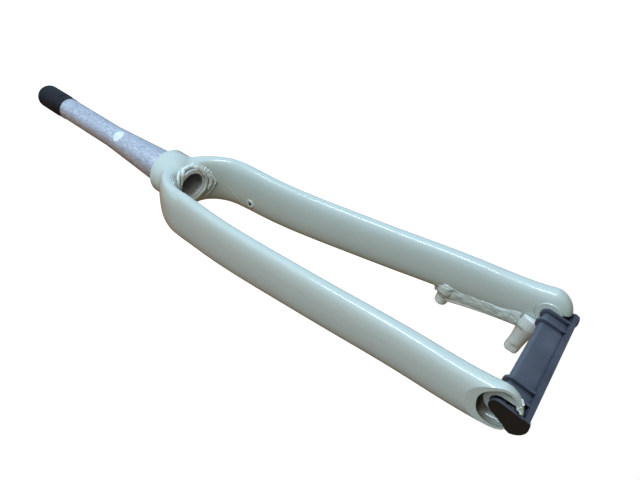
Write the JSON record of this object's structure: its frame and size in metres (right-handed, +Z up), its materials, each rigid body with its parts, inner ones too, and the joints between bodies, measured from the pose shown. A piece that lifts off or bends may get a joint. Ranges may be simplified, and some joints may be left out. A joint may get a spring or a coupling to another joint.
{
  "type": "bicycle fork",
  "caption": "Rigid bicycle fork with a tapered steerer, deep hollow blades, open dropouts, disc brake posts on one blade and a transport spacer.",
  "frame": {"origin": "centre of the shoulder under the lower bearing's crown race, on the steerer axis", "axes": "+Z up the steerer axis, +Y forward in the direction of travel, +X to the rider's right"},
  "size_m": [0.1358, 0.0937, 0.7047],
  "materials": {
    "steerer_metal": "bare drawn tube, mottled satin",
    "cap_rubber": "soft satin black",
    "paint": "glossy pale mint white",
    "weld_paint": "glossy paint over a rough weld",
    "insert_metal": "zinc plated",
    "spacer_plastic": "moulded, dark blue-grey"
  },
  "bodies": {
    "root": {"steerer_tube": "steerer_metal", "steerer_cap": "cap_rubber", "crown": "paint", "steerer_weld": "weld_paint", "right_leg": "paint", "left_leg": "paint", "right_dropout": "paint", "left_dropout": "paint", "right_front_weld": "weld_paint", "right_rear_weld": "weld_paint", "left_front_weld": "weld_paint", "left_rear_weld": "weld_paint", "brake_lower_post": "paint", "brake_upper_post": "paint", "rivet_nut": "insert_metal", "axle_spacer": "spacer_plastic"}
  },
  "joints": []
}
